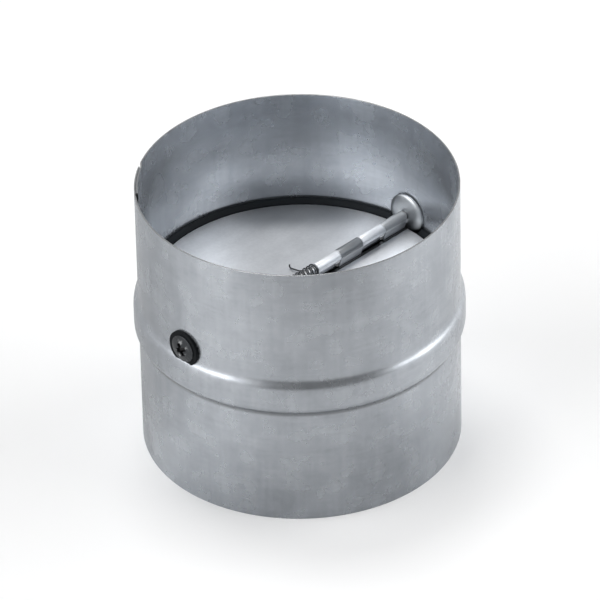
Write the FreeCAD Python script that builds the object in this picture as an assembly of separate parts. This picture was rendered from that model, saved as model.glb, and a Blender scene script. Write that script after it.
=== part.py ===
import FreeCAD, Part
import math
import os

# Backdraft damper for a round duct of nominal 100 mm. A rolled sheet casing has a bead round
# its middle, a rubber ring sits in the bead, and two half-round blades hang on one fixed axle.
# Air from below lifts the blades, and a torsion spring on the axle closes them.
# Frame: origin at the centre of the lower rim, +Z along the duct, +X along the axle. Millimetres.

Vec = FreeCAD.Vector
ORIGIN = Vec(0, 0, 0)
DUCT_AXIS = Vec(0, 0, 1)
AXLE_AXIS = Vec(1, 0, 0)

# Casing
casing_outer_d = 99.0
casing_length = 90.0
sheet = 0.5
bead_start = 38.2
bead_lower_slope = 4.0
bead_crest = 5.2
bead_upper_slope = 5.9
bead_rise = 1.5

# Lap seam of the rolled sheet, angles in degrees about the duct axis
inner_ply_end = 140.0
lap_angle = 18.0
joggle_angle = 3.0
ply_gap = 0.15

# Axle
axle_above_bead = 1.5
axle_d = 2.8
axle_engagement = 1.2

# Bush inside the wall, turned with a domed flange and a boss that passes through the wall
bush_flange_d = 13.4
bush_thickness = 2.05
bush_dome = 1.2
bush_flat_d = 5.6
boss_d = 6.4
boss_hole_clearance = 0.15
socket_clearance = 0.03

# Screw and its washer, outside the wall
screw_d = 3.9
thread_clearance = 0.04
screw_head_d = 8.8
screw_head_rim = 0.3
screw_head_dome = 0.9
recess_length = 5.0
recess_width = 1.2
recess_depth = 0.9
recess_turn = 28.0
washer_d = 11.5
washer_lip = 0.1
end_play = 0.3

# Blades
blade_sheet = 0.4
blade_edge_gap = 2.2
blade_drop = 4.25
slit_width = 0.6
knuckle_root_radius = 0.5
knuckle_count = 4
knuckle_gap = 0.2
knuckle_end_angle = 262.0
knuckle_relief = 0.2
running_clearance = 0.05
barrel_end_gap = 0.5
spring_bay = 13.8

# Seal ring
seal_below_bead_top = 1.35
seal_above_bead_start = 2.8
seal_overlap = 3.0
seal_lip = 1.2
seal_collar_top = 0.7
seal_collar_foot = 1.0
seal_blade_gap = 0.1
seal_edge_clearance = 0.5
bush_notch_clearance = 0.2
seal_under_notch = 1.0

# Torsion spring
wire_d = 0.5
coil_clearance = 0.2
coil_turns = 7
coil_leg_gap = 0.15
leg_side_gap = 0.45
leg_wrap_angle = 275.0
leg_reach = 10.2
leg_tip_radius = 0.6
leg_tip_rise = 0.5

# Small gap that keeps curved seats of the fixed pieces apart
seat_gap = 0.05

# Sizes that follow
outer_r = casing_outer_d / 2
inner_r = outer_r - sheet
bead_top = bead_start + bead_lower_slope + bead_crest + bead_upper_slope
axle_z = bead_top + axle_above_bead
axle_r = axle_d / 2
bush_face = inner_r - bush_thickness
axle_half = bush_face + axle_engagement
screw_r = screw_d / 2


def shoulder_radius(z):
    """Outside radius of the wall at a height on the bead's upper slope."""
    bend = (bead_rise**2 + bead_upper_slope**2) / (4 * bead_rise)
    from_top = min(max(bead_top - z, 0), bead_upper_slope)
    from_crest = bead_upper_slope - from_top
    if from_top < from_crest:
        return outer_r + bend - math.sqrt(bend**2 - from_top**2)
    return outer_r + bead_rise - bend + math.sqrt(bend**2 - from_crest**2)


# The head's underside clears the bead, and the washer's face lies against it
washer_face = shoulder_radius(axle_z - screw_head_d / 2) + washer_lip
blade_r = inner_r - blade_edge_gap
blade_bottom = axle_z - blade_drop - blade_sheet
barrel_half = bush_face - barrel_end_gap
bay_half = spring_bay / 2
knuckle_pitch = (barrel_half - bay_half) / knuckle_count
coil_r = axle_r + coil_clearance + wire_d / 2
leg_x = bay_half - leg_side_gap - wire_d / 2
coil_half = leg_x - wire_d - coil_leg_gap
AXLE_POINT = Vec(0, 0, axle_z)


def duct_section(r, z):
    """A point of a section through the duct axis."""
    return Vec(r, 0, z)


def axle_section(x, r):
    """A point of a section through the axle, r above its centre line."""
    return Vec(x, 0, axle_z + r)


def cross_section(x):
    """Points square to the axle at x, with y to the side and z from the axle's centre."""
    return lambda y, z: Vec(x, y, axle_z + z)


def polar(radius, degrees, centre=(0, 0)):
    angle = math.radians(degrees)
    return centre[0] + radius * math.cos(angle), centre[1] + radius * math.sin(angle)


def path(place, start, *steps):
    """Edges through steps: a step of one point is a line, and of two an arc by its middle."""
    edges = []
    here = place(*start)
    for step in steps:
        points = [place(*p) for p in step]
        if len(points) == 2:
            edges.append(Part.Arc(here, points[0], points[1]).toShape())
        else:
            edges.append(Part.makeLine(here, points[0]))
        here = points[-1]
    return edges


def face(place, start, *steps):
    return Part.Face(Part.Wire(path(place, start, *steps, (start,))))


def round_duct(shape, degrees=360.0):
    return shape.revolve(ORIGIN, DUCT_AXIS, degrees)


def turned(shape):
    return shape.revolve(AXLE_POINT, AXLE_AXIS, 360)


def rod(x0, x1, radius):
    return Part.makeCylinder(radius, x1 - x0, Vec(x0, 0, axle_z), AXLE_AXIS)


def opposite(shape):
    """The same piece at the other end, turned half round about the duct."""
    return shape.rotated(ORIGIN, DUCT_AXIS, 180)


def slope(r0, z0, r1, z1):
    """Two equal tangent arcs that start and end along the duct, as steps for path."""
    rise, run = abs(r1 - r0), abs(z1 - z0)
    side, way = math.copysign(1, r1 - r0), math.copysign(1, z1 - z0)
    bend = (rise**2 + run**2) / (4 * rise)
    half = math.asin(run / 2 / bend) / 2
    step_r, step_z = side * bend * (1 - math.cos(half)), way * bend * math.sin(half)
    middle = ((r0 + r1) / 2, (z0 + z1) / 2)
    return (
        ((r0 + step_r, z0 + step_z), middle),
        ((r1 - step_r, z1 - step_z), (r1, z1)),
    )


def wall_line(radius, upward=True):
    """The bead's line on a wall of this radius, as a start point and steps."""
    crest = radius + bead_rise
    crest_low = bead_start + bead_lower_slope
    crest_high = crest_low + bead_crest
    corners = [
        (radius, 0),
        (radius, bead_start),
        (crest, crest_low),
        (crest, crest_high),
        (radius, bead_top),
        (radius, casing_length),
    ]
    if not upward:
        corners.reverse()
    steps = [(corners[1],)]
    steps += slope(*corners[1], *corners[2])
    steps += [(corners[3],)]
    steps += slope(*corners[3], *corners[4])
    steps += [(corners[5],)]
    return corners[0], steps


def wall_face(radius, thickness):
    """The section of a beaded wall whose outside has this radius."""
    start, outside = wall_line(radius)
    inner_top, inside = wall_line(radius - thickness, upward=False)
    return face(duct_section, start, *outside, (inner_top,), *inside)


def filled(radius):
    """Everything inside a beaded wall line of this radius."""
    start, outside = wall_line(radius)
    return round_duct(face(duct_section, start, *outside, ((0, casing_length),), ((0, 0),)))


def turn(shape, degrees):
    return shape.rotated(ORIGIN, DUCT_AXIS, degrees)


def make_casing():
    """Rolled sheet: its end steps inwards and tucks behind its beginning."""
    outer = wall_face(outer_r, sheet)
    inner = wall_face(outer_r - sheet - ply_gap, sheet)
    outer_start = inner_ply_end - lap_angle
    joggle_start = outer_start - joggle_angle
    outer_ply = round_duct(turn(outer, outer_start), 360 - joggle_angle)
    inner_ply = round_duct(turn(inner, outer_start), lap_angle)
    sections = [turn(outer.OuterWire, joggle_start), turn(inner.OuterWire, outer_start)]
    joggle = Part.makeLoft(sections, True, True)
    casing = outer_ply.fuse([joggle, inner_ply]).removeSplitter()
    hole = rod(-outer_r - bead_rise, outer_r + bead_rise, boss_d / 2 + boss_hole_clearance)
    return casing.cut(hole)


def make_seal():
    """Rubber ring in the bead: a collar on the wall and a lip that the blades rest on."""
    top = bead_top - seal_below_bead_top
    foot = bead_start + seal_above_bead_start
    ledge = blade_bottom - seal_blade_gap
    beyond = outer_r + bead_rise
    collar = blade_r + seal_edge_clearance
    nose = blade_r - seal_overlap
    bend = seal_lip / 2
    notch_r = bush_flange_d / 2 + bush_notch_clearance
    section = face(
        duct_section,
        (beyond, foot),
        ((beyond, top),),
        ((inner_r - seal_collar_top, top),),
        ((collar, blade_bottom + blade_sheet),),
        ((collar, ledge),),
        ((nose + bend, ledge),),
        ((nose, ledge - bend), (nose + bend, ledge - seal_lip)),
        ((collar, axle_z - notch_r - seal_under_notch),),
        ((inner_r - seal_collar_foot, foot),),
    )
    seal = round_duct(section).common(filled(inner_r - seat_gap))
    lap = wall_face(outer_r + bead_rise, bead_rise + 2 * sheet + ply_gap + seat_gap)
    keep_clear = 1.5
    lap_sector = round_duct(
        turn(lap, inner_ply_end - lap_angle - joggle_angle - keep_clear),
        lap_angle + joggle_angle + 2 * keep_clear,
    )
    seal = seal.cut(lap_sector)
    notch = rod(bush_face - bush_notch_clearance, outer_r + bead_rise, notch_r)
    return seal.cut([notch, opposite(notch)])


def make_axle():
    return rod(-axle_half, axle_half, axle_r)


def make_bush():
    flat_r, flange_r = bush_flat_d / 2, bush_flange_d / 2
    dome_x = bush_face + bush_dome
    dome_middle = (
        dome_x - bush_dome * math.cos(math.pi / 4),
        flat_r + (flange_r - flat_r) * math.sin(math.pi / 4),
    )
    flange = turned(
        face(
            axle_section,
            (bush_face, 0),
            ((bush_face, flat_r),),
            (dome_middle, (dome_x, flange_r)),
            ((inner_r, flange_r),),
            ((inner_r, 0),),
        )
    ).common(filled(inner_r - seat_gap))
    boss = rod(bush_face + bush_dome, washer_face - washer_lip, boss_d / 2)
    socket = rod(bush_face - 1, axle_half + end_play, axle_r + socket_clearance)
    screw_hole = rod(axle_half, washer_face + 1, screw_r + thread_clearance)
    return flange.fuse(boss).removeSplitter().cut([socket, screw_hole])


def make_washer():
    disc = rod(outer_r - sheet, washer_face, washer_d / 2)
    hole = rod(outer_r - 2 * sheet, washer_face + 1, boss_d / 2 + boss_hole_clearance)
    return disc.cut([hole, filled(outer_r + seat_gap)])


def make_screw():
    """Domed head with a cross recess, and a plain shank that stands for the thread."""
    head_r = screw_head_d / 2
    rim = washer_face + screw_head_rim
    crown = rim + screw_head_dome
    dome_r = (head_r**2 + screw_head_dome**2) / (2 * screw_head_dome)
    middle_r = head_r / 2
    middle = (crown - dome_r + math.sqrt(dome_r**2 - middle_r**2), middle_r)
    head = turned(
        face(
            axle_section,
            (washer_face, 0),
            ((washer_face, head_r),),
            ((rim, head_r),),
            (middle, (crown, 0)),
        )
    )
    shank = rod(axle_half + end_play, washer_face + screw_head_rim / 2, screw_r)
    screw = head.fuse(shank)
    for quarter in (0, 90):
        slot = Part.makeBox(
            recess_depth + 1,
            recess_length,
            recess_width,
            Vec(crown - recess_depth, -recess_length / 2, axle_z - recess_width / 2),
        )
        slot.rotate(AXLE_POINT, AXLE_AXIS, recess_turn + quarter)
        screw = screw.cut(slot)
    return screw


def knuckle_section(x):
    """The tab of the rear blade: bent up at its edge, leant out, and rolled over the axle."""
    half = blade_sheet / 2
    roll = axle_r + running_clearance + half
    root_r = knuckle_root_radius
    centre = (slit_width / 2 + half + root_r, -blade_drop - half + root_r)
    lean = math.degrees(math.atan2(-centre[1], -centre[0]))
    reach = math.degrees(math.acos((root_r + roll) / math.hypot(*centre)))
    leave = lean + reach
    arrive = leave - 180
    below, above = root_r + half, root_r - half
    inside, outside = roll - half, roll + half
    bend_middle = (270 + leave) / 2
    roll_middle = (arrive + knuckle_end_angle) / 2
    root = centre[0] + blade_sheet
    return face(
        cross_section(x),
        (root, -blade_drop - blade_sheet),
        ((centre[0], -blade_drop - blade_sheet),),
        (polar(below, bend_middle, centre), polar(below, leave, centre)),
        (polar(inside, arrive),),
        (polar(inside, roll_middle), polar(inside, knuckle_end_angle)),
        (polar(outside, knuckle_end_angle),),
        (polar(outside, roll_middle), polar(outside, arrive)),
        (polar(above, leave, centre),),
        (polar(above, bend_middle, centre), (centre[0], -blade_drop)),
        ((root, -blade_drop),),
    )


def knuckle_spans():
    """The rear blade's knuckles: every second place on each side of the spring's bay."""
    spans = []
    for place in range(knuckle_count):
        near = bay_half + place * knuckle_pitch
        low, high = near + knuckle_gap / 2, near + knuckle_pitch - knuckle_gap / 2
        spans.append((low, high) if place % 2 == 0 else (-high, -low))
    return spans


def make_rear_blade():
    """Half disc with rolled knuckles. The front blade is the same stamping, turned half round."""
    edge = slit_width / 2
    disc = Part.makeCylinder(blade_r, blade_sheet, Vec(0, 0, blade_bottom))
    half_space = Part.makeBox(
        2 * blade_r, blade_r, 2 * blade_sheet, Vec(-blade_r, edge, blade_bottom - blade_sheet / 2)
    )
    blade = disc.common(half_space)
    notch_depth = edge + blade_sheet / 2 + knuckle_root_radius
    for low, high in knuckle_spans():
        notch = Part.makeBox(
            high - low + 2 * knuckle_relief,
            notch_depth,
            2 * blade_sheet,
            Vec(low - knuckle_relief, 0, blade_bottom - blade_sheet / 2),
        )
        tab = knuckle_section(low).extrude(Vec(high - low, 0, 0))
        blade = blade.cut(notch).fuse(tab)
    return blade.removeSplitter()


def wire(edges, start, along):
    """Round wire along a path of edges, from its start point and first direction."""
    ring = Part.Wire(Part.makeCircle(wire_d / 2, start, along))
    return Part.Wire(edges).makePipe(Part.Face(ring))


def make_coil():
    """Open right-hand coil round the axle, with both ends at the bottom."""
    length = 2 * coil_half
    pitch = length / coil_turns
    helix = Part.makeHelix(pitch, length, coil_r)
    coil = wire(helix.Edges, Vec(coil_r, 0, 0), Vec(0, coil_r, pitch / (2 * math.pi)))
    coil.rotate(ORIGIN, Vec(0, 1, 0), 90)
    coil.translate(Vec(-coil_half, 0, axle_z))
    return coil


def make_rear_leg():
    """The spring's end turn, which runs off under the axle and presses on the rear blade."""
    tip_height = -blade_drop + wire_d / 2 + seat_gap
    distance = math.hypot(leg_reach, tip_height)
    toward = math.degrees(math.atan2(tip_height, leg_reach))
    leave = 360 + toward - math.degrees(math.acos(coil_r / distance))
    begin = leave - leg_wrap_angle
    start = polar(coil_r, begin)
    heading = leave - 270
    setback = leg_tip_radius * math.tan(math.radians(45 - heading / 2))
    foot = polar(setback, heading + 180, (leg_reach, tip_height))
    turn_centre = polar(leg_tip_radius, heading + 90, foot)
    bend_middle = polar(leg_tip_radius, (heading - 90) / 2, turn_centre)
    bend_end = polar(leg_tip_radius, 0, turn_centre)
    edges = path(
        cross_section(leg_x),
        start,
        (polar(coil_r, (begin + leave) / 2), polar(coil_r, leave)),
        (foot,),
        (bend_middle, bend_end),
        ((bend_end[0], bend_end[1] + leg_tip_rise),),
    )
    return wire(edges, cross_section(leg_x)(*start), Vec(0, *polar(1, begin + 90)))


def model():
    rear_blade = make_rear_blade()
    rear_leg = make_rear_leg()
    right_ends = {"bush": make_bush(), "washer": make_washer(), "screw": make_screw()}
    nodes = {
        "casing": make_casing(),
        "seal_ring": make_seal(),
        "axle": make_axle(),
        "rear_blade": rear_blade,
        "front_blade": opposite(rear_blade),
        "spring_coil": make_coil(),
        "spring_leg_rear": rear_leg,
        "spring_leg_front": opposite(rear_leg),
    }
    for name, shape in right_ends.items():
        nodes[name + "_right"] = shape
        nodes[name + "_left"] = opposite(shape)
    return nodes


os.makedirs("parts", exist_ok=True)
for name, shape in model().items():
    shape.exportStep("parts/" + name + ".step")
    print(name, len(shape.Solids), "solid", round(shape.Volume, 2), "mm3", shape.isValid())
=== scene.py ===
import math
import bmesh
import bpy
from mathutils import Matrix, Vector


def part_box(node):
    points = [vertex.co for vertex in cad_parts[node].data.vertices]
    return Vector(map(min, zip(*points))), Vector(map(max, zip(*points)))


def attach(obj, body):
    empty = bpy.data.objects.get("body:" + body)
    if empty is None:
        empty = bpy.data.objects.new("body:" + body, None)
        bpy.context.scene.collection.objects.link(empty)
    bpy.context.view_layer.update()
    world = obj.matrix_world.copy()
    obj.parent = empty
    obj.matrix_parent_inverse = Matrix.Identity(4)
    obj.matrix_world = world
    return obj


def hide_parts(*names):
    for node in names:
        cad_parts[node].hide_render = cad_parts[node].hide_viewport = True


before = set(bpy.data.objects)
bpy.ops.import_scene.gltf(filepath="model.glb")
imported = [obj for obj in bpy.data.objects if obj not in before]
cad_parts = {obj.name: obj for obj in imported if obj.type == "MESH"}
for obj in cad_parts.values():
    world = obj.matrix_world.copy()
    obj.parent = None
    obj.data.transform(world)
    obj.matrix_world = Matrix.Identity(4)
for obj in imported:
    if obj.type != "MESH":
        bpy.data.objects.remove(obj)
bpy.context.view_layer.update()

MM = 0.001
ALONG_DUCT = Vector((0, 0, 1))
ALONG_AXLE = Vector((1, 0, 0))
MIDDLE = Vector((0, 0, 0))

# Places read from the frame, in metres
CASING_LOW, CASING_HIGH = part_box("casing")
AXLE_LOW, AXLE_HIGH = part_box("axle")
BLADE_LOW, BLADE_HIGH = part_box("rear_blade")
COIL_LOW, COIL_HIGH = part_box("spring_coil")
BUSH_LOW, BUSH_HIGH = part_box("bush_right")
WASHER_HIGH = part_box("washer_right")[1]
SCREW_LOW, SCREW_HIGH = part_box("screw_right")
LEG_LOW, LEG_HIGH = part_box("spring_leg_rear")
SEAL_LOW, SEAL_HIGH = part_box("seal_ring")
AXLE_Z = (AXLE_LOW.z + AXLE_HIGH.z) / 2
AXLE_R = (AXLE_HIGH.z - AXLE_LOW.z) / 2
AXLE_MIDDLE = Vector((0, 0, AXLE_Z))

# Casing: plain wall, bead and lap seam
SHEET = 0.5 * MM
BEAD_START = 38.2 * MM
LOWER_SLOPE = 4.0 * MM
CREST = 5.2 * MM
UPPER_SLOPE = 5.9 * MM
BEAD_RISE = 1.5 * MM
CREST_LOW = BEAD_START + LOWER_SLOPE
CREST_HIGH = CREST_LOW + CREST
BEAD_TOP = CREST_HIGH + UPPER_SLOPE
OUTER_R = CASING_HIGH.x - BEAD_RISE
INNER_R = OUTER_R - SHEET
SEAM_END = 140.0
LAP = 18.0
JOGGLE = 3.0
PLY_GAP = 0.15 * MM
CUT_EDGE = 0.1 * MM

# Spring wire
WIRE_R = 0.25 * MM
COIL_TURNS = 7
LEG_WRAP = 275
LEG_FOOT_BEND = 0.6 * MM
LEG_TIP_RISE = 0.5 * MM

# Blades and their knuckles
BLADE_SHEET = 0.4 * MM
BLADE_R = BLADE_HIGH.x
SLIT_EDGE = 0.3 * MM
BLADE_DROP = AXLE_Z - BLADE_LOW.z - BLADE_SHEET
KNUCKLE_BEND = 0.5 * MM
KNUCKLE_COUNT = 4
KNUCKLE_GAP = 0.2 * MM
KNUCKLE_END = 262
KNUCKLE_RELIEF = 0.2 * MM
RUNNING_CLEARANCE = 0.05 * MM
SPRING_BAY = 13.8 * MM

# The photograph's view: the axle runs from the near left to the far right
VIEW_TURN = math.radians(-45.15)
VIEW_RISE = math.radians(34.92)
VIEW_ROLL = math.radians(-1.248)
VIEW_DISTANCE = 2.02
VIEW_LENS = 394.8
VIEW_SHIFT = (0.0005, 0.0081)

# Studio
LAMP_DISTANCE = 1.3
UNLIT_TURN = 14
REAR_CARD_TURN = -130
FLOOR_GLOW = 0.16
FRONT_CARD = 0.45
REAR_CARD = 0.75
SKY_LIGHT = 0.14
UNLIT_SHARE = 0.88


# Modelling by hand


def put_down():
    """Nothing is selected, and no piece is open for editing."""
    if bpy.context.object and bpy.context.object.mode == "EDIT":
        bpy.ops.object.mode_set(mode="OBJECT")
    bpy.ops.object.select_all(action="DESELECT")


def start_line(name, start):
    """A new piece of one point, open for editing, from which its outline is drawn."""
    put_down()
    bpy.ops.mesh.primitive_plane_add(size=MM)
    piece = bpy.context.active_object
    piece.name = name
    piece.data.name = name
    bpy.ops.object.mode_set(mode="EDIT")
    bpy.ops.mesh.select_all(action="SELECT")
    bpy.ops.mesh.merge(type="CENTER")
    bpy.ops.transform.translate(value=start)
    return piece


def draw_to(here, points):
    """Pulls what is selected through the points, one straight stretch after another."""
    for point in points:
        bpy.ops.mesh.extrude_region_move(TRANSFORM_OT_translate={"value": point - here})
        here = point
    return here


def draw_outline(name, points, closed=False):
    """A new piece of one line through the points, left open for editing and selected."""
    piece = start_line(name, points[0])
    draw_to(points[0], points[1:])
    bpy.ops.mesh.select_all(action="SELECT")
    if closed:
        bpy.ops.mesh.remove_doubles(threshold=MM / 1000)
    return piece


def spin_round(centre, axis, degrees=360, steps=96):
    """Sweeps what is selected anticlockwise, which the operator counts as a negative angle."""
    bpy.ops.mesh.spin(steps=steps, angle=-math.radians(degrees), center=centre, axis=axis)


def close_and_turn_out():
    """Seams and poles are merged, and the faces point outwards."""
    bpy.ops.mesh.select_all(action="SELECT")
    bpy.ops.mesh.remove_doubles(threshold=MM / 200)
    bpy.ops.mesh.normals_make_consistent(inside=False)


def apply_modifier(piece, kind, **settings):
    put_down()
    bpy.context.view_layer.objects.active = piece
    piece.select_set(True)
    modifier = piece.modifiers.new(kind.lower(), kind)
    for name, value in settings.items():
        setattr(modifier, name, value)
    bpy.ops.object.modifier_apply(modifier=modifier.name)


def soften(piece, width, segments=2, sharpest=40):
    """Rounds the sharp edges and shades the curved faces smooth."""
    apply_modifier(
        piece,
        "BEVEL",
        width=width,
        segments=segments,
        limit_method="ANGLE",
        angle_limit=math.radians(sharpest),
    )
    smooth(piece)


def smooth(piece, sharpest=35):
    put_down()
    bpy.context.view_layer.objects.active = piece
    piece.select_set(True)
    bpy.ops.object.shade_smooth_by_angle(angle=math.radians(sharpest))


def cut_away(piece, cutter):
    """Cuts one piece's shape out of another, and clears the cutter away."""
    apply_modifier(piece, "BOOLEAN", operation="DIFFERENCE", solver="EXACT", object=cutter)
    bpy.data.objects.remove(cutter, do_unlink=True)


def twin(piece, name):
    """The same piece at the other end, turned half round about the duct."""
    copy = piece.copy()
    copy.data = piece.data.copy()
    copy.name = name
    copy.data.name = name
    copy.data.transform(Matrix.Rotation(math.pi, 4, "Z"))
    bpy.context.scene.collection.objects.link(copy)
    return copy


def finish_piece(piece, node, body, material):
    piece.data.materials.clear()
    piece.data.materials.append(material)
    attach(piece, body)
    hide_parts(node)


def on_duct(radius, height, degrees=0.0):
    """A point by its distance from the duct's axis, height and compass angle."""
    turn = math.radians(degrees)
    return Vector((radius * math.cos(turn), radius * math.sin(turn), height))


def beside_axle(x, degrees, radius, centre=(0, 0)):
    """A point square to the axle, by its angle and distance from the axle or another centre."""
    turn = math.radians(degrees)
    y = centre[0] + radius * math.cos(turn)
    z = centre[1] + radius * math.sin(turn)
    return Vector((x, y, AXLE_Z + z))


def along_arc(first, last, count):
    """Evenly spaced angles or heights from first to last, both kept."""
    return [first + (last - first) * step / count for step in range(count + 1)]


# Casing


def bead_height(z):
    """How far the bead stands out of the plain wall."""
    if z < CREST_LOW:
        run, along = LOWER_SLOPE, max(z - BEAD_START, 0)
    else:
        run, along = UPPER_SLOPE, max(BEAD_TOP - z, 0)
    along = min(along, run)
    bend = (BEAD_RISE**2 + run**2) / (4 * BEAD_RISE)
    if along < run / 2:
        return bend - math.sqrt(bend**2 - along**2)
    return BEAD_RISE - bend + math.sqrt(bend**2 - (run - along) ** 2)


def wall_heights():
    """The heights at which the casing's profile has a point."""
    heights = [CASING_LOW.z]
    heights += along_arc(BEAD_START, CREST_LOW, 12)
    heights += along_arc(CREST_HIGH, BEAD_TOP, 14)
    heights += [CASING_HIGH.z]
    return heights


def make_casing():
    """The sheet's outside, rolled from its profile: once round, a step inwards, the tucked end."""
    tuck = SHEET + PLY_GAP
    begin = SEAM_END - LAP
    points = [on_duct(OUTER_R + bead_height(z), z, begin) for z in wall_heights()]
    piece = draw_outline("casing_sheet", points)
    spin_round(MIDDLE, ALONG_DUCT, 360 - JOGGLE, 240)
    joggle_steps = 4
    radius = OUTER_R
    for step in range(joggle_steps):
        spin_round(MIDDLE, ALONG_DUCT, JOGGLE / joggle_steps, 1)
        share = (1 - math.cos(math.pi * (step + 1) / joggle_steps)) / 2
        narrower = OUTER_R - tuck * share
        bpy.ops.transform.resize(
            value=(narrower / radius, narrower / radius, 1), center_override=MIDDLE
        )
        radius = narrower
    spin_round(MIDDLE, ALONG_DUCT, LAP, 16)
    bpy.ops.mesh.select_all(action="SELECT")
    bpy.ops.mesh.normals_make_consistent(inside=False)
    bpy.ops.object.mode_set(mode="OBJECT")
    outward = piece.data.polygons[0].normal.dot(piece.data.polygons[0].center)
    if outward < 0:
        piece.data.flip_normals()
    apply_modifier(piece, "SOLIDIFY", thickness=SHEET, offset=-1)
    soften(piece, CUT_EDGE)
    return piece


# Rubber seal


def make_seal():
    """The ring in the bead: a collar against the wall and a lip that the blades rest on."""
    seat = 0.05 * MM
    collar = BLADE_R + 0.5 * MM
    ledge = BLADE_LOW.z - 0.1 * MM
    nose = BLADE_R - 3.0 * MM
    lip = 1.2 * MM
    clear = 0.2 * MM
    notch_r = (BUSH_HIGH.z - BUSH_LOW.z) / 2 + clear
    under_notch = AXLE_Z - notch_r - 1.0 * MM
    foot, top = SEAL_LOW.z, SEAL_HIGH.z
    bend = lip / 2
    back = [
        on_duct(INNER_R - seat + bead_height(z), z) for z in along_arc(foot, top, 24)
    ]
    front = [
        on_duct(INNER_R - 0.7 * MM, top),
        on_duct(collar, BLADE_LOW.z + BLADE_SHEET),
        on_duct(collar, ledge),
        on_duct(nose + bend, ledge),
    ]
    for a in along_arc(30, 150, 4):
        turn = math.radians(a)
        front.append(
            on_duct(nose + bend - bend * math.sin(turn), ledge - bend + bend * math.cos(turn))
        )
    front += [
        on_duct(nose + bend, ledge - lip),
        on_duct(collar, under_notch),
        on_duct(INNER_R - 1.0 * MM, foot),
    ]
    piece = draw_outline("rubber_seal", back + front + back[:1], closed=True)
    spin_round(MIDDLE, ALONG_DUCT, 360, 240)
    close_and_turn_out()
    bpy.ops.object.mode_set(mode="OBJECT")
    for side in (-1, 1):
        near, far = BUSH_LOW.x - clear, OUTER_R + BEAD_RISE
        cut_away(piece, make_rod("notch", side * near, side * far, notch_r, 64))
    cut_away(piece, make_lap_room())
    soften(piece, 0.15 * MM, sharpest=50)
    return piece


def make_lap_room():
    """The space of the tucked ply, which the ring leaves free."""
    keep_clear = 1.5
    depth = 2 * SHEET + PLY_GAP + 0.05 * MM
    begin = SEAM_END - LAP - JOGGLE - keep_clear
    ends = CASING_LOW.z, CASING_HIGH.z
    outside = [on_duct(OUTER_R + 2 * BEAD_RISE, z, begin) for z in ends]
    inside = [
        on_duct(OUTER_R - depth + bead_height(z), z, begin) for z in reversed(wall_heights())
    ]
    room = draw_outline("lap_room", outside + inside + outside[:1], closed=True)
    bpy.ops.mesh.edge_face_add()
    spin_round(MIDDLE, ALONG_DUCT, LAP + JOGGLE + 2 * keep_clear, 20)
    close_and_turn_out()
    bpy.ops.object.mode_set(mode="OBJECT")
    return room


# Axle, bushes, washers and screws


def make_rod(name, x0, x1, radius, steps=48):
    """A plain bar along the axle, pulled out of a disc."""
    put_down()
    bpy.ops.mesh.primitive_circle_add(
        vertices=steps, radius=radius, fill_type="NGON", rotation=(0, math.pi / 2, 0)
    )
    rod = bpy.context.active_object
    rod.name = name
    rod.data.name = name
    bpy.ops.object.transform_apply(location=True, rotation=True, scale=True)
    bpy.ops.object.mode_set(mode="EDIT")
    bpy.ops.mesh.select_all(action="SELECT")
    bpy.ops.transform.translate(value=(x0, 0, AXLE_Z))
    draw_to(Vector((x0, 0, 0)), [Vector((x1, 0, 0))])
    close_and_turn_out()
    bpy.ops.object.mode_set(mode="OBJECT")
    return rod


def make_axle():
    rod = make_rod("axle_rod", AXLE_LOW.x, AXLE_HIGH.x, AXLE_R)
    soften(rod, 0.3 * MM)
    return rod


def turn_on_lathe(name, profile, steps=72):
    """A round piece on the axle's line, from its profile of places along the axle and radii."""
    points = [Vector((x, 0, AXLE_Z + r)) for x, r in profile]
    piece = draw_outline(name, points, closed=True)
    spin_round(AXLE_MIDDLE, ALONG_AXLE, 360, steps)
    close_and_turn_out()
    bpy.ops.object.mode_set(mode="OBJECT")
    return piece


def make_bush():
    """Domed flange against the wall, with the axle's socket and a boss through the wall."""
    flange_r = (BUSH_HIGH.z - BUSH_LOW.z) / 2
    face, wall = BUSH_LOW.x, INNER_R
    flat_r = 2.8 * MM
    dome = 1.2 * MM
    socket_r = AXLE_R + 0.03 * MM
    boss_r = 3.2 * MM
    screw_hole = 1.99 * MM
    rim = face + dome
    round_r = flange_r - flat_r
    dome_line = [
        (rim - dome * math.cos(math.radians(a)), flat_r + round_r * math.sin(math.radians(a)))
        for a in along_arc(0, 90, 12)
    ]
    wall_side = wall - 0.55 * MM
    profile = [(AXLE_HIGH.x, socket_r), (face, socket_r)] + dome_line
    profile += [
        (wall_side, flange_r),
        (wall_side, boss_r),
        (BUSH_HIGH.x, boss_r),
        (BUSH_HIGH.x, screw_hole),
        (AXLE_HIGH.x, screw_hole),
        (AXLE_HIGH.x, socket_r),
    ]
    bush = turn_on_lathe("bush_far", profile)
    soften(bush, 0.12 * MM)
    return bush


def wall_form():
    """Everything inside the casing's outside, which the washer is seated on."""
    radius = OUTER_R + 0.05 * MM
    line = [on_duct(radius + bead_height(z), z) for z in wall_heights()]
    points = [on_duct(0, CASING_LOW.z)] + line + [on_duct(0, CASING_HIGH.z)]
    form = draw_outline("wall_form", points)
    spin_round(MIDDLE, ALONG_DUCT, 360, 180)
    close_and_turn_out()
    bpy.ops.object.mode_set(mode="OBJECT")
    return form


def make_washer():
    face = WASHER_HIGH.x
    reach = 5.75 * MM
    hole = 3.35 * MM
    back = INNER_R
    washer = turn_on_lathe(
        "washer_far",
        [(back, hole), (back, reach), (face, reach), (face, hole), (back, hole)],
    )
    cut_away(washer, wall_form())
    soften(washer, 0.25 * MM, segments=3)
    return washer


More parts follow.
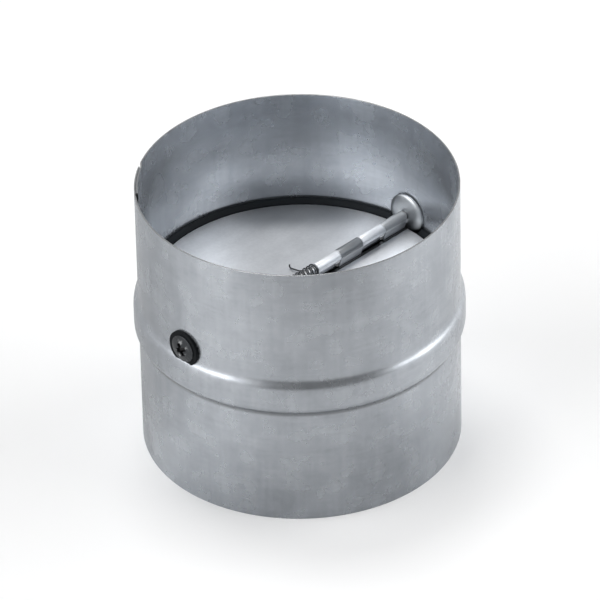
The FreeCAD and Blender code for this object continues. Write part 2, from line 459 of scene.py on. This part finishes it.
def make_screw():
    """Pan head with a low dome and a cross recess, and its shank."""
    head_r = (SCREW_HIGH.z - SCREW_LOW.z) / 2
    under, crown = WASHER_HIGH.x, SCREW_HIGH.x
    rim = under + 0.3 * MM
    dome = crown - rim
    dome_r = (head_r**2 + dome**2) / (2 * dome)
    shank_r = 1.95 * MM
    spread = math.degrees(math.asin(head_r / dome_r))
    centre = crown - dome_r
    dome_line = [
        (centre + dome_r * math.cos(math.radians(a)), dome_r * math.sin(math.radians(a)))
        for a in along_arc(spread, 0, 14)
    ]
    profile = [(SCREW_LOW.x, 0), (SCREW_LOW.x, shank_r), (under, shank_r), (under, head_r)]
    screw = turn_on_lathe("screw_far", profile + dome_line)
    for quarter in (0, 90):
        cut_away(screw, make_recess_wing(crown, quarter))
    soften(screw, 0.1 * MM, segments=3)
    return screw


def make_recess_wing(crown, quarter):
    """One wing of the cross recess: a slot that narrows towards its floor."""
    length, width, depth = 5.6 * MM, 1.9 * MM, 1.0 * MM
    floor_share = 0.62
    recess_turn = 28
    turn = math.radians(recess_turn + quarter)
    put_down()
    bpy.ops.mesh.primitive_cube_add(size=1)
    wing = bpy.context.active_object
    wing.name = "recess_wing"
    wing.scale = (2 * depth, length, width)
    wing.location = (crown, 0, AXLE_Z)
    wing.rotation_euler = (turn, 0, 0)
    bpy.ops.object.transform_apply(location=True, rotation=True, scale=True)
    bpy.ops.object.mode_set(mode="EDIT")
    bpy.ops.mesh.select_all(action="DESELECT")
    mesh = bmesh.from_edit_mesh(wing.data)
    for corner in mesh.verts:
        corner.select = corner.co.x < crown
    mesh.select_flush(True)
    bmesh.update_edit_mesh(wing.data)
    bpy.ops.transform.resize(
        value=(1, floor_share, floor_share), center_override=(crown - depth, 0, AXLE_Z)
    )
    bpy.ops.object.mode_set(mode="OBJECT")
    return wing


# Blades


def knuckle_line(x):
    """The middle of the sheet, from the blade's edge up and over the axle."""
    half = BLADE_SHEET / 2
    roll = AXLE_R + RUNNING_CLEARANCE + half
    centre = (SLIT_EDGE + half + KNUCKLE_BEND, -BLADE_DROP - half + KNUCKLE_BEND)
    lean = math.degrees(math.atan2(-centre[1], -centre[0]))
    reach = math.degrees(math.acos((KNUCKLE_BEND + roll) / math.hypot(*centre)))
    leave = lean + reach
    bend = [beside_axle(x, a, KNUCKLE_BEND, centre) for a in along_arc(270, leave, 6)]
    rolled = [beside_axle(x, a, roll) for a in along_arc(leave - 180, KNUCKLE_END, 26)]
    return bend + rolled


def knuckle_spans():
    """The rear blade's knuckles: every second place on each side of the spring's bay."""
    barrel_half = BUSH_LOW.x - 0.5 * MM
    bay_half = SPRING_BAY / 2
    pitch = (barrel_half - bay_half) / KNUCKLE_COUNT
    spans = []
    for place in range(KNUCKLE_COUNT):
        near = bay_half + place * pitch
        low, high = near + KNUCKLE_GAP / 2, near + pitch - KNUCKLE_GAP / 2
        spans.append((low, high) if place % 2 == 0 else (-high, -low))
    return sorted(spans)


def blade_outline(height):
    """The stamping before its knuckles are rolled: a half disc with a notch round each knuckle."""
    root = SLIT_EDGE + BLADE_SHEET / 2 + KNUCKLE_BEND
    begin = math.degrees(math.asin(SLIT_EDGE / BLADE_R))
    corner_x = BLADE_R * math.cos(math.radians(begin))
    points = [Vector((-corner_x, SLIT_EDGE, height))]
    for low, high in knuckle_spans():
        for x, y in (
            (low - KNUCKLE_RELIEF, SLIT_EDGE),
            (low - KNUCKLE_RELIEF, root),
            (low, root),
            (high, root),
            (high + KNUCKLE_RELIEF, root),
            (high + KNUCKLE_RELIEF, SLIT_EDGE),
        ):
            points.append(Vector((x, y, height)))
    points += [on_duct(BLADE_R, height, a) for a in along_arc(begin, 180 - begin, 120)]
    return points


def make_rear_blade():
    """A half disc whose tabs are pulled out of its straight edge and rolled over the axle."""
    height = BLADE_LOW.z + BLADE_SHEET / 2
    piece = draw_outline("blade_far", blade_outline(height), closed=True)
    bpy.ops.mesh.edge_face_add()
    root = SLIT_EDGE + BLADE_SHEET / 2 + KNUCKLE_BEND
    for low, high in knuckle_spans():
        bpy.ops.mesh.select_all(action="DESELECT")
        mesh = bmesh.from_edit_mesh(piece.data)
        for edge in mesh.edges:
            ends = sorted(corner.co.x for corner in edge.verts)
            level = all(abs(corner.co.z - height) < MM / 100 for corner in edge.verts)
            at_root = all(abs(corner.co.y - root) < MM / 100 for corner in edge.verts)
            spans = abs(ends[0] - low) < MM / 100 and abs(ends[1] - high) < MM / 100
            if level and at_root and spans:
                edge.select = True
        mesh.select_flush(True)
        bmesh.update_edit_mesh(piece.data)
        line = knuckle_line(0)
        draw_to(line[0], line[1:])
    bpy.ops.mesh.select_all(action="SELECT")
    bpy.ops.mesh.normals_make_consistent(inside=False)
    bpy.ops.object.mode_set(mode="OBJECT")
    apply_modifier(piece, "SOLIDIFY", thickness=BLADE_SHEET, offset=0)
    soften(piece, 0.06 * MM, sharpest=60)
    return piece


# Spring


def wire_along(name, points):
    """Round spring wire along a line of points."""
    wire = draw_outline(name, points)
    bpy.ops.object.mode_set(mode="OBJECT")
    put_down()
    wire.select_set(True)
    bpy.context.view_layer.objects.active = wire
    bpy.ops.object.convert(target="CURVE")
    wire.data.bevel_depth = WIRE_R
    wire.data.bevel_resolution = 4
    wire.data.use_fill_caps = True
    bpy.ops.object.convert(target="MESH")
    wire = bpy.context.active_object
    bpy.ops.object.mode_set(mode="EDIT")
    close_and_turn_out()
    bpy.ops.object.mode_set(mode="OBJECT")
    smooth(wire)
    return wire


def make_coil():
    """Open coil round the axle, with both ends at the bottom."""
    radius = (COIL_HIGH.z - COIL_LOW.z) / 2 - WIRE_R
    low, high = COIL_LOW.x + WIRE_R, COIL_HIGH.x - WIRE_R
    bottom, steps = 270, 32
    count = COIL_TURNS * steps
    points = [
        beside_axle(low + (high - low) * step / count, bottom - 360 * step / steps, radius)
        for step in range(count + 1)
    ]
    return wire_along("coil_wire", points)


def make_rear_leg():
    """The spring's end turn, which runs off under the axle and presses on the rear blade."""
    x = (LEG_LOW.x + LEG_HIGH.x) / 2
    radius = -LEG_LOW.y - WIRE_R
    tip_height = -BLADE_DROP + WIRE_R + RUNNING_CLEARANCE
    reach = LEG_HIGH.y - WIRE_R
    distance = math.hypot(reach, tip_height)
    toward = math.degrees(math.atan2(tip_height, reach))
    leave = 360 + toward - math.degrees(math.acos(radius / distance))
    heading = leave - 270
    bend = LEG_FOOT_BEND
    setback = bend * math.tan(math.radians(45 - heading / 2))
    foot = beside_axle(x, heading + 180, setback, (reach, tip_height))
    turn_y = foot.y + bend * math.cos(math.radians(heading + 90))
    turn_z = foot.z - AXLE_Z + bend * math.sin(math.radians(heading + 90))
    points = [beside_axle(x, a, radius) for a in along_arc(leave - LEG_WRAP, leave, 40)]
    points += [beside_axle(x, a, bend, (turn_y, turn_z)) for a in along_arc(heading - 90, 0, 8)]
    points.append(points[-1] + Vector((0, 0, LEG_TIP_RISE)))
    return wire_along("leg_far", points)


# Materials


class Level:
    """A number that varies over a surface, on which Python sums add Math nodes."""

    def __init__(self, nodes, socket):
        self.nodes = nodes
        self.socket = socket

    def sum(self, operation, first, second):
        node = self.nodes.add("ShaderNodeMath", {"operation": operation}, {0: first, 1: second})
        return Level(self.nodes, node.outputs[0])

    def __add__(self, other):
        return self.sum("ADD", self, other)

    def __radd__(self, other):
        return self.sum("ADD", other, self)

    def __sub__(self, other):
        return self.sum("SUBTRACT", self, other)

    def __rsub__(self, other):
        return self.sum("SUBTRACT", other, self)

    def __mul__(self, other):
        return self.sum("MULTIPLY", self, other)

    def __rmul__(self, other):
        return self.sum("MULTIPLY", other, self)

    def between(self, low, high):
        """How far the level is from low to high, from 0 to 1, eased at both ends."""
        node = self.nodes.add(
            "ShaderNodeMapRange",
            {"interpolation_type": "SMOOTHSTEP"},
            {"Value": self, "From Min": low, "From Max": high},
        )
        return Level(self.nodes, node.outputs["Result"])

    def size_between(self, low, high):
        """The same for the level's size, whatever its sign."""
        return (self * self).between(low**2, high**2)


class Nodes:
    """The node tree of a finish or of the studio's sky."""

    def __init__(self, tree):
        self.tree = tree

    def add(self, kind, settings, inputs):
        """A node of a type, with its settings first and then its values or links."""
        node = self.tree.nodes.new(kind)
        for name, value in settings.items():
            setattr(node, name, value)
        for key, value in inputs.items():
            self.feed(node.inputs[key], value)
        return node

    def feed(self, socket, value):
        if isinstance(value, Level):
            value = value.socket
        if isinstance(value, bpy.types.NodeSocket):
            self.tree.links.new(value, socket)
        else:
            socket.default_value = value

    def ray(self, kind):
        """One for rays of a kind, and zero for the others."""
        return Level(self, self.add("ShaderNodeLightPath", {}, {}).outputs[kind])

    def vectors(self, operation, first, second, output="Vector"):
        node = self.add("ShaderNodeVectorMath", {"operation": operation}, {0: first, 1: second})
        return node.outputs[output]


class Finish(Nodes):
    """A material whose shader is set first and whose varying inputs are linked after."""

    def __init__(self, name, **constants):
        self.material = bpy.data.materials.new(name)
        self.material.use_nodes = True
        super().__init__(self.material.node_tree)
        self.shader = self.tree.nodes["Principled BSDF"]
        for socket, value in constants.items():
            self.shader.inputs[socket.replace("_", " ")].default_value = value
        self.place = self.add("ShaderNodeTexCoord", {}, {}).outputs["Object"]

    def stretched(self, x, y, z):
        return self.vectors("MULTIPLY", self.place, (x, y, z))

    def noise(self, scale, detail=3.0, roughness=0.5, place=None):
        node = self.add(
            "ShaderNodeTexNoise",
            {},
            {
                "Vector": place or self.place,
                "Scale": scale,
                "Detail": detail,
                "Roughness": roughness,
            },
        )
        return Level(self, node.outputs[0])

    def drawn_out(self, x, y, z, detail=3.0, roughness=0.5):
        """Noise with a scale of its own along each axis, such as rolling marks."""
        return self.noise(1, detail, roughness, self.stretched(x, y, z))

    def toward(self, direction):
        """One where the place lies in a direction from the middle, and less beside it."""
        outward = self.vectors("NORMALIZE", self.place, MIDDLE)
        return Level(self, self.vectors("DOT_PRODUCT", outward, direction, "Value"))

    def coordinate(self, axis):
        split = self.add("ShaderNodeSeparateXYZ", {}, {0: self.place})
        return Level(self, split.outputs[axis])

    def colour(self, level, dark, light):
        """The surface's colour, from dark where the level is 0 to light where it is 1."""
        self.tint = self.mixed(level, (*dark, 1), (*light, 1))
        self.feed(self.shader.inputs["Base Color"], self.tint)

    def stain(self, share, colour):
        """Another colour over a part of the surface, such as grime."""
        self.tint = self.mixed(share, self.tint, (*colour, 1))
        self.feed(self.shader.inputs["Base Color"], self.tint)

    def mixed(self, share, first, second):
        node = self.add(
            "ShaderNodeMix", {"data_type": "RGBA"}, {"Factor": share, "A": first, "B": second}
        )
        return next(out for out in node.outputs if out.type == "RGBA")

    def roughness(self, level):
        self.feed(self.shader.inputs["Roughness"], level)

    def bumps(self, height, distance, strength=1.0):
        node = self.add(
            "ShaderNodeBump", {}, {"Strength": strength, "Distance": distance, "Height": height}
        )
        self.feed(self.shader.inputs["Normal"], node.outputs[0])


def galvanised_sheet():
    """Dull zinc: soft patches, specks, faint rolling marks and streaks, with painted shade along
    the bead's lower edge and at the tucked ply's end.
    """
    zinc = Finish("galvanised_sheet", Metallic=0.8)
    patches = zinc.noise(scale=140)
    cloud = zinc.noise(scale=38)
    specks = zinc.noise(scale=620, detail=2)
    marks = zinc.drawn_out(60, 60, 1100, roughness=0.6)
    streaks = zinc.drawn_out(600, 600, 25, roughness=0.6)
    dents = zinc.noise(scale=16, detail=1)
    height = zinc.coordinate(2)
    # Painted shade: a darker band along the bead's lower edge, where the sheet turns out to the
    # bead.
    fold_shade = height.between(BEAD_START - 0.2 * MM, BEAD_START + MM) * height.between(
        BEAD_START + 3.2 * MM, BEAD_START + 1.4 * MM
    )
    tone = patches * 0.26 + cloud * 0.34 + marks * 0.15 + streaks * 0.15 + specks * 0.1
    zinc.colour(tone.between(0.2, 0.8), (0.33, 0.354, 0.384), (0.61, 0.64, 0.68))
    zinc.stain(fold_shade * 0.75, (0.22, 0.23, 0.24))
    rims = height.between(CASING_HIGH.z - 0.15 * MM, CASING_HIGH.z - 0.05 * MM)
    zinc.stain(rims * 0.9, (0.2, 0.205, 0.21))
    # Painted shade at the tucked ply's end, coloured near black.
    zinc.stain(lap_end_shade(zinc), (0.01, 0.011, 0.012))
    zinc.roughness(patches * 0.06 + 0.24)
    zinc.bumps(marks * 0.2 + patches * 0.1 + dents * 4, distance=0.04 * MM)
    return zinc.material


def lap_end_shade(zinc):
    """Painted shade: one at the tucked ply's end face and just beside it, inside the duct."""
    toward = on_duct(1, 0, SEAM_END)
    x, y = zinc.coordinate(0), zinc.coordinate(1)
    beside = x * toward.y - y * toward.x
    inside = (x * x + y * y).between((INNER_R + 0.3 * MM) ** 2, (INNER_R + 0.05 * MM) ** 2)
    near = beside.size_between(MM, 0.5 * MM)
    return near * inside * (x * toward.x + y * toward.y).between(0, MM)


def seal_rubber():
    rubber = Finish("seal_rubber", Metallic=0, Specular_IOR_Level=0.12)
    dust = rubber.noise(scale=90)
    rubber.colour(dust, (0.005, 0.007, 0.009), (0.018, 0.022, 0.026))
    rubber.roughness(dust * 0.2 + 0.45)
    rubber.bumps(rubber.noise(scale=1500, detail=4), distance=0.03 * MM, strength=0.5)
    return rubber.material


def mill_aluminium():
    """Pale rolled sheet with a soft cloudy sheen, a few smears and fine grain, and painted shade
    on every second knuckle, the tabs' faces, a line beside the axle and a patch of painted shade
    and reflection near the far wall.
    """
    sheet = Finish("blade_aluminium", Metallic=0.4)
    cloud = sheet.noise(scale=45, detail=4, roughness=0.55)
    smears = sheet.drawn_out(40, 160, 160)
    grain = sheet.noise(scale=1100, detail=2)
    dents = sheet.noise(scale=25, detail=1)
    tone = cloud * 0.5 + smears * 0.3 + grain * 0.2
    sheet.colour(tone.between(0.3, 0.7), (0.72, 0.74, 0.77), (0.9, 0.92, 0.95))
    x, y, height = sheet.coordinate(0), sheet.coordinate(1), sheet.coordinate(2)
    top = AXLE_Z - BLADE_DROP
    # Painted shade: a near-black line where the plate bends up beside the axle.
    crease_shade = y.size_between(1.7 * MM, 1.2 * MM) * height.between(top + 0.7 * MM, top + 0.4 * MM)
    # Painted shade: the tabs' faces rising to the axle are coloured darker.
    tab_shade = height.between(AXLE_Z - 0.2 * MM, AXLE_Z - MM) * height.between(
        top + 0.1 * MM, top + 0.4 * MM
    )
    outward, sideways = (x + y) * math.sqrt(0.5), (x - y) * math.sqrt(0.5)
    # Painted shade and reflection of the far wall: a darker cloudy patch near each blade's outer
    # edge, in its middle.
    far_wall_shade = outward.size_between(30 * MM, 40 * MM) * sideways.size_between(24 * MM, 6 * MM)
    # Painted shade: every second knuckle is coloured darker, the two on the negative side, and
    # their twins
    blur = 0.1 * MM
    for (low, high), share in zip(knuckle_spans(), (0.6, 0.9)):
        knuckle_shade = x.size_between(low, low + blur) * x.size_between(high, high - blur)
        sheet.stain(knuckle_shade * height.between(AXLE_Z - MM, AXLE_Z) * share, (0.13, 0.14, 0.15))
    sheet.stain(tab_shade * 0.7, (0.25, 0.26, 0.28))
    sheet.stain(far_wall_shade * (cloud * 0.7 + 0.35), (0.2, 0.22, 0.25))
    sheet.stain(crease_shade * 0.95, (0.03, 0.032, 0.035))
    sheet.roughness(cloud * 0.14 + grain * 0.06 + 0.24)
    sheet.bumps(grain * 0.08 + dents * 3, distance=0.03 * MM)
    return sheet.material


def turned_bush_metal():
    metal = Finish("bush_metal", Metallic=1.0)
    cloud = metal.noise(scale=300, detail=4)
    metal.colour(cloud, (0.42, 0.44, 0.46), (0.6, 0.62, 0.63))
    # Painted shade and reflection of the dark seal: the flange is coloured near black below the
    # axle.
    low = metal.coordinate(2).between(AXLE_Z + MM, AXLE_Z - 4 * MM)
    metal.stain(low * 0.93, (0.05, 0.053, 0.057))
    metal.roughness(cloud * 0.15 + 0.34)
    metal.bumps(metal.noise(scale=900), distance=0.02 * MM, strength=0.6)
    return metal.material


def drawn_steel():
    steel = Finish("axle_steel", Metallic=1.0)
    lines = steel.drawn_out(40, 3000, 3000)
    steel.colour(lines, (0.42, 0.43, 0.45), (0.58, 0.59, 0.6))
    steel.roughness(lines * 0.15 + 0.22)
    return steel.material


def blackened_steel():
    black = Finish("black_screw", Metallic=0.5)
    cloud = black.noise(scale=500, detail=4)
    black.colour(cloud, (0.015, 0.018, 0.022), (0.06, 0.065, 0.07))
    x, y, up = black.coordinate(0), black.coordinate(1), black.coordinate(2) - AXLE_Z
    crown = SCREW_HIGH.x
    from_centre = y * y + up * up
    # Painted shade: the inside of the cross recess is coloured near black.
    deep = x.size_between(crown - 0.38 * MM, crown - 0.5 * MM)
    recess = deep * from_centre.between((3.1 * MM) ** 2, (2.9 * MM) ** 2)
    # Painted highlight: bright spots scattered round the recess.
    glint_scatter = black.noise(scale=650, detail=2).between(0.52, 0.66)
    painted_glints = glint_scatter * from_centre.between((3.6 * MM) ** 2, (2.6 * MM) ** 2)
    black.stain(painted_glints * 0.8, (0.4, 0.41, 0.42))
    black.stain(recess, (0.002, 0.002, 0.003))
    black.roughness(cloud * 0.15 + 0.18)
    black.bumps(black.noise(scale=1800), distance=0.02 * MM, strength=0.5)
    return black.material


def washer_rubber():
    rubber = Finish("washer_rubber", Metallic=0, Specular_IOR_Level=0.1)
    dust = rubber.noise(scale=400)
    rubber.colour(dust, (0.003, 0.004, 0.005), (0.01, 0.012, 0.014))
    rubber.roughness(dust * 0.2 + 0.5)
    rubber.bumps(rubber.noise(scale=1500, detail=4), distance=0.03 * MM, strength=0.5)
    return rubber.material


def oiled_spring_wire():
    wire = Finish("spring_steel", Metallic=0.8)
    cloud = wire.noise(scale=700)
    wire.colour(cloud, (0.03, 0.033, 0.036), (0.08, 0.083, 0.087))
    wire.roughness(cloud * 0.15 + 0.35)
    return wire.material


# Camera, light and floor


def add_camera():
    """A long lens at the photograph's angle, aimed at the middle of the casing."""
    target = Vector((0, 0, (CASING_LOW.z + CASING_HIGH.z) / 2))
    back = Vector((0, -math.cos(VIEW_RISE), math.sin(VIEW_RISE)))
    right = Vector((1, 0, 0))
    up = right.cross(-back)
    tilted_right = right * math.cos(VIEW_ROLL) + up * math.sin(VIEW_ROLL)
    tilted_up = up * math.cos(VIEW_ROLL) - right * math.sin(VIEW_ROLL)
    turn = Matrix.Rotation(VIEW_TURN, 3, "Z")
    axes = Matrix((turn @ tilted_right, turn @ tilted_up, turn @ back)).transposed()
    place = axes.to_4x4()
    place.translation = target + turn @ back * VIEW_DISTANCE
    data = bpy.data.cameras.new("view")
    data.lens = VIEW_LENS
    data.sensor_width = 36
    data.shift_x, data.shift_y = VIEW_SHIFT
    data.clip_end = 20
    camera = bpy.data.objects.new("view", data)
    camera.matrix_world = place
    bpy.context.scene.collection.objects.link(camera)
    bpy.context.scene.camera = camera


def seen_from_camera(turn, rise):
    """A direction by its compass turn, seen from the camera's side of the damper, and its rise."""
    turn, rise = math.radians(turn), math.radians(rise)
    return Matrix.Rotation(VIEW_TURN + turn, 3, "Z") @ Vector((0, -math.cos(rise), math.sin(rise)))


def add_softbox(name, turn, rise, width, height, brightness):
    """A white lit panel that faces the casing from a set distance."""
    direction = seen_from_camera(turn, rise)
    data = bpy.data.lights.new(name, "AREA")
    data.shape = "RECTANGLE"
    data.size = width
    data.size_y = height
    data.energy = brightness * math.pi * width * height
    lamp = bpy.data.objects.new(name, data)
    lamp.location = Vector((0, 0, CASING_HIGH.z / 2)) + direction * LAMP_DISTANCE
    lamp.rotation_euler = direction.to_track_quat("Z", "Y").to_euler()
    bpy.context.scene.collection.objects.link(lamp)


def add_floor():
    put_down()
    bpy.ops.mesh.primitive_plane_add(size=8, location=(0, 0, CASING_LOW.z))
    floor = bpy.context.active_object
    floor.name = "floor"
    finish = Finish("white_floor", Roughness=0.9)
    finish.shader.inputs["Emission Strength"].default_value = FLOOR_GLOW
    finish.feed(finish.shader.inputs["Emission Color"], finish.ray("Is Camera Ray"))
    front = finish.toward(seen_from_camera(UNLIT_TURN, 0)).between(0.62, 0.97)
    behind = finish.toward(seen_from_camera(REAR_CARD_TURN, 0)).between(0.34, 0.94)
    cards = (front * FRONT_CARD + behind * REAR_CARD) * finish.ray("Is Glossy Ray")
    finish.colour(cards, (0.8, 0.8, 0.8), (0.4, 0.4, 0.4))
    floor.data.materials.append(finish.material)


def light_world():
    """White to the camera, bright in reflections, and dim on the camera's side for both others."""
    world = bpy.data.worlds.new("studio")
    world.use_nodes = True
    sky = Nodes(world.node_tree)
    where = sky.add("ShaderNodeTexCoord", {}, {}).outputs["Generated"]
    facing = sky.vectors("DOT_PRODUCT", where, seen_from_camera(UNLIT_TURN, 0), "Value")
    unlit = Level(sky, facing).between(0.6, 0.85)
    camera, glossy = sky.ray("Is Camera Ray"), sky.ray("Is Glossy Ray")
    around = glossy + (1 - glossy) * SKY_LIGHT
    strength = camera + (1 - camera) * (1 - unlit * UNLIT_SHARE) * around
    sky.feed(world.node_tree.nodes["Background"].inputs["Color"], (1, 1, 1, 1))
    sky.feed(world.node_tree.nodes["Background"].inputs["Strength"], strength)
    bpy.context.scene.world = world


# The whole damper

zinc, aluminium = galvanised_sheet(), mill_aluminium()
rubber, washer_black = seal_rubber(), washer_rubber()
bush_metal, rod_steel = turned_bush_metal(), drawn_steel()
screw_black, wire_steel = blackened_steel(), oiled_spring_wire()

finish_piece(make_casing(), "casing", "housing", zinc)
finish_piece(make_seal(), "seal_ring", "housing", rubber)
finish_piece(make_axle(), "axle", "housing", rod_steel)
finish_piece(make_coil(), "spring_coil", "housing", wire_steel)

bush, washer, screw = make_bush(), make_washer(), make_screw()
for piece, kind, slot, material in (
    (bush, "bush", "bush_metal", bush_metal),
    (washer, "washer", "washer_rubber", washer_black),
    (screw, "screw", "black_screw", screw_black),
):
    finish_piece(twin(piece, kind + "_near"), kind + "_left", "housing", material)
    finish_piece(piece, kind + "_right", "housing", material)

blade, leg = make_rear_blade(), make_rear_leg()
for piece, kind, rear, front, slot, material in (
    (blade, "blade", "rear_blade", "front_blade", "blade_aluminium", aluminium),
    (leg, "spring_leg", "spring_leg_rear", "spring_leg_front", "spring_steel", wire_steel),
):
    finish_piece(twin(piece, kind + "_near"), front, "front_leaf", material)
    finish_piece(piece, rear, "rear_leaf", material)

bpy.context.scene.view_settings.view_transform = "Standard"
add_camera()
add_softbox("left_panel", turn=-68, rise=32, width=1.2, height=1.2, brightness=2.7)
add_softbox("right_panel", turn=92, rise=30, width=1.4, height=1.1, brightness=2.4)
add_softbox("right_strip", turn=115, rise=8, width=1.8, height=0.4, brightness=2.4)
add_softbox("top_panel", turn=-158, rise=72, width=0.5, height=0.4, brightness=11.0)
light_world()
add_floor()

put_down()
